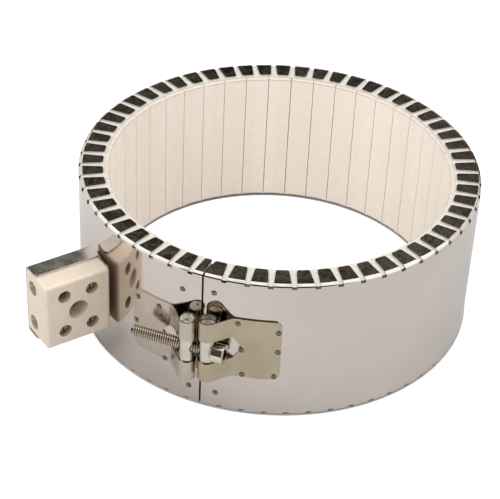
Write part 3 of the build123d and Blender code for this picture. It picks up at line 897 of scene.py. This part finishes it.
# Faces down in the four screw wells take the second material: unglazed, and darkened as painted shade.
for face in block.data.polygons:
    deep = face.center.z < front - rim * 1.5 and face.center.z > channel_z - channel_radius
    from_end = block_reach / 2 - abs(face.center.x)
    from_top = block_height / 2 - abs(face.center.y)
    in_fixing_well = math.hypot(face.center.x, face.center.y) < fixing_radius + rim
    in_well = deep and min(from_end, from_top) > side_edge and not in_fixing_well
    face.material_index = 1 if in_well else 0
put_up(block)
porcelain, node, shade = new_finish(
    "glazed_porcelain", Roughness=0.34, Coat_Weight=0.25, Coat_Roughness=0.15
)
cloud(node, shade, "Base Color", glaze_dark, glaze_pale, cells=160, detail=5)
roughen(node, shade, 0.06 * mm, cells=420, detail=4, strength=0.5)
# The wells' porcelain is unglazed, and its colour is darkened far below the glaze as painted shade for
# the depth of the wells.
unglazed_shaded_porcelain, node, shade = new_finish("unglazed_porcelain_painted_shade", Roughness=0.8, Specular_IOR_Level=0.2)
cloud(node, shade, "Base Color", well_shade_dark, well_shade_pale, cells=300, detail=4)
block.data.materials.append(porcelain)
block.data.materials.append(unglazed_shaded_porcelain)
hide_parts("terminal_block")
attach(block, "heater")

# Terminal inserts, screws and nut
# Drawn brass tubes in the wire ways, with slotted, plated screws that pinch the wires from the wells.
# A longer screw in the fixing well and the nut behind the tray hold the block.
dull_dark = (0.28, 0.24, 0.18)
dull_pale = (0.46, 0.41, 0.33)
brass_dark = (0.52, 0.36, 0.14)
brass_pale = (0.68, 0.50, 0.22)
dull_steel, node, shade = new_finish("dull_plated_steel", Metallic=1.0)
cloud(node, shade, "Base Color", dull_dark, dull_pale, cells=600)
cloud(node, shade, "Roughness", 0.15, 0.28, cells=900)
brass, node, shade = new_finish("drawn_brass", Metallic=1.0, Roughness=0.25)
cloud(node, shade, "Base Color", brass_dark, brass_pale, cells=400)
for name, finish, slot in (
    ("upper_terminal_insert", brass, "brass"),
    ("lower_terminal_insert", brass, "brass"),
    ("outer_upper_screw", dull_steel, "plated_steel"),
    ("inner_upper_screw", dull_steel, "plated_steel"),
    ("outer_lower_screw", dull_steel, "plated_steel"),
    ("inner_lower_screw", dull_steel, "plated_steel"),
    ("fixing_screw", dull_steel, "plated_steel"),
    ("fixing_nut", plated_steel, "plated_steel"),
):
    nodes[name].data.materials.clear()
    nodes[name].data.materials.append(finish)

# Studio
# A white paper floor under a white surround, lit by two large soft lamps; the floor is painted lighter
# to the left and has a painted shadow round the band.
# Dark and pale cloths hang round it, which only the polished metal reflects.
floor_size = 8.0
floor_drop = 0.02 * mm
# Painted light across the floor, lighter at the left.
floor_painted_light_left = 0.63
floor_painted_light_right = 0.51
floor_painted_light_reach = 0.25
# Painted contact shadow: the floor's glow is cut out in a ring under the band.
ring_spare = 2 * mm
ring_low = bore_radius - ring_spare
ring_high = casing_radius + ring_spare
contact_shadow_stops = ((1.9, 1), (2.3, 0), (15.1, 0), (15.6, 1))
seen_lift = 0.64
mirrored_lift = 0.06
surround_light = 0.88
surround_seen = 1.0
lamp_size = 1.0


def seen_directly(tree):
    """How far a ray comes from the camera or by way of metal or glass, from 0 to 1."""
    path = tree.nodes.new("ShaderNodeLightPath")
    total = path.outputs["Is Camera Ray"]
    for kind in ("Is Glossy Ray", "Is Transmission Ray"):
        plus = tree.nodes.new("ShaderNodeMath")
        plus.operation = "ADD"
        plus.use_clamp = True
        tree.links.new(total, plus.inputs[0])
        tree.links.new(path.outputs[kind], plus.inputs[1])
        total = plus.outputs[0]
    return total


bpy.ops.object.select_all(action="DESELECT")
bpy.ops.mesh.primitive_plane_add(size=floor_size, location=(0, 0, -half_width - floor_drop))
floor = bpy.context.object
floor.name = "floor"
paper, node, shade = new_finish("white_paper_painted_light", Roughness=1.0, Specular_IOR_Level=0.0)
place = own_place(node)
axes = node("ShaderNodeSeparateXYZ", {"Vector": place})
# Painted light: the floor's colour runs from lighter at the left to darker at the right, which the
# casing reflects.
across = node("ShaderNodeMapRange", {"Value": axes.outputs["X"]})
across.inputs["From Min"].default_value = -floor_painted_light_reach
across.inputs["From Max"].default_value = floor_painted_light_reach
painted_floor_light = ramp(node, across.outputs["Result"], (0.0, grey(floor_painted_light_left)), (1.0, grey(floor_painted_light_right)))
shade("Base Color", painted_floor_light)
# Painted shadow: the floor under the band and just round it gets no glow.
from_axis = node("ShaderNodeVectorMath", {0: place}, operation="LENGTH")
contact_shadow_ring = node("ShaderNodeMapRange", {"Value": from_axis.outputs["Value"]})
contact_shadow_ring.inputs["From Min"].default_value = ring_low
contact_shadow_ring.inputs["From Max"].default_value = ring_high
stops = [(reach * mm / (ring_high - ring_low), grey(tone)) for reach, tone in contact_shadow_stops]
shade("Emission Color", ramp(node, contact_shadow_ring.outputs["Result"], (0.0, white), (1.0, white), *stops))
faint = node("ShaderNodeMath", {0: seen_directly(paper.node_tree)}, operation="MULTIPLY")
faint.inputs[1].default_value = mirrored_lift
path = node("ShaderNodeLightPath")
lift = node("ShaderNodeMath", {0: path.outputs["Is Camera Ray"]}, operation="MULTIPLY_ADD")
lift.inputs[1].default_value = seen_lift
paper.node_tree.links.new(faint.outputs[0], lift.inputs[2])
shade("Emission Strength", lift.outputs[0])
floor.data.materials.append(paper)


def new_cloth(name, colour, glow=0.0):
    """A plain cloth of this colour and glow, and the makers of its nodes and of its links."""
    return new_finish(
        name,
        Base_Color=(*grey(0.01), 1),
        Roughness=1.0,
        Specular_IOR_Level=0.0,
        Emission_Color=(*colour, 1),
        Emission_Strength=glow,
    )


def add_cloth(name, middle, across, along, tilt, material):
    """A cloth hung in the studio, seen only in polished metal."""
    bpy.ops.mesh.primitive_plane_add(size=1, location=middle, rotation=(tilt, 0, 0))
    cloth = bpy.context.object
    cloth.name = name
    cloth.scale = (across, along, 1)
    cloth.data.materials.append(material)
    cloth.visible_camera = False
    cloth.visible_diffuse = False
    cloth.visible_shadow = False


dark_cloth, node, shade = new_cloth("dark_cloth", (1.0, 0.92, 0.74))
sheen = node("ShaderNodeMapRange", {"Value": noise(node, cells=12, detail=3)})
for socket, value in (("From Min", 0.40), ("From Max", 0.64), ("To Min", 0.006), ("To Max", 0.13)):
    sheen.inputs[socket].default_value = value
shade("Emission Strength", sheen.outputs["Result"])
tent_cloth, node, shade = new_cloth("tent_cloth", (0.89, 0.95, 1.0), 1.55)
add_cloth("back_cloth", (-0.87, 2.6, 2.2), 3.2, 4.4, math.pi / 2, dark_cloth)
add_cloth("front_cloth", (0.6, -1.6, 1.1), 3.2, 3.1, math.radians(48), dark_cloth)
add_cloth("tent_roof", (0, 0.5, 2.2), 6.0, 2.1, 0, tent_cloth)
add_cloth("tent_flap", (1.28, 1.82, 2.2), 3.45, 0.6, 0, tent_cloth)

world = bpy.data.worlds.new("studio")
world.use_nodes = True
bpy.context.scene.world = world
tree = world.node_tree
backdrop = tree.nodes["Background"]
backdrop.inputs["Color"].default_value = (*white, 1)
spread = tree.nodes.new("ShaderNodeMapRange")
spread.inputs["To Min"].default_value = surround_light
spread.inputs["To Max"].default_value = surround_seen
tree.links.new(seen_directly(tree), spread.inputs["Value"])
tree.links.new(spread.outputs["Result"], backdrop.inputs["Strength"])

for name, place, power in (
    ("window_lamp", (0.9, 0.4, 1.5), 9.5),
    ("fill_lamp", (-0.5, -1.05, 1.25), 11.5),
):
    lamp = bpy.data.lights.new(name, "AREA")
    lamp.size = lamp_size
    lamp.energy = power
    lamp_object = bpy.data.objects.new(name, lamp)
    lamp_object.location = place
    lamp_object.rotation_euler = (-Vector(place)).to_track_quat("-Z", "Y").to_euler()
    lamp_object.visible_glossy = False
    bpy.context.collection.objects.link(lamp_object)

# Camera
# A long lens on a stand in front of the clamp, a little to the right and well above it.
# It is rolled by under three degrees.
camera_place = Vector((190.25, -568.60, 425.65)) * mm
camera_right = Vector((0.93132, 0.36206, 0.03940))
camera_up = Vector((-0.24380, 0.53942, 0.80597))
lens = bpy.data.cameras.new("camera")
lens.lens = 117.64
lens.sensor_width = 36
lens.sensor_fit = "HORIZONTAL"
lens.clip_start = 0.01
camera = bpy.data.objects.new("camera", lens)
bpy.context.collection.objects.link(camera)
aim = Matrix((camera_right, camera_up, camera_right.cross(camera_up))).transposed().to_4x4()
aim.translation = camera_place
camera.matrix_world = aim
bpy.context.scene.camera = camera
bpy.context.scene.view_settings.view_transform = "Standard"
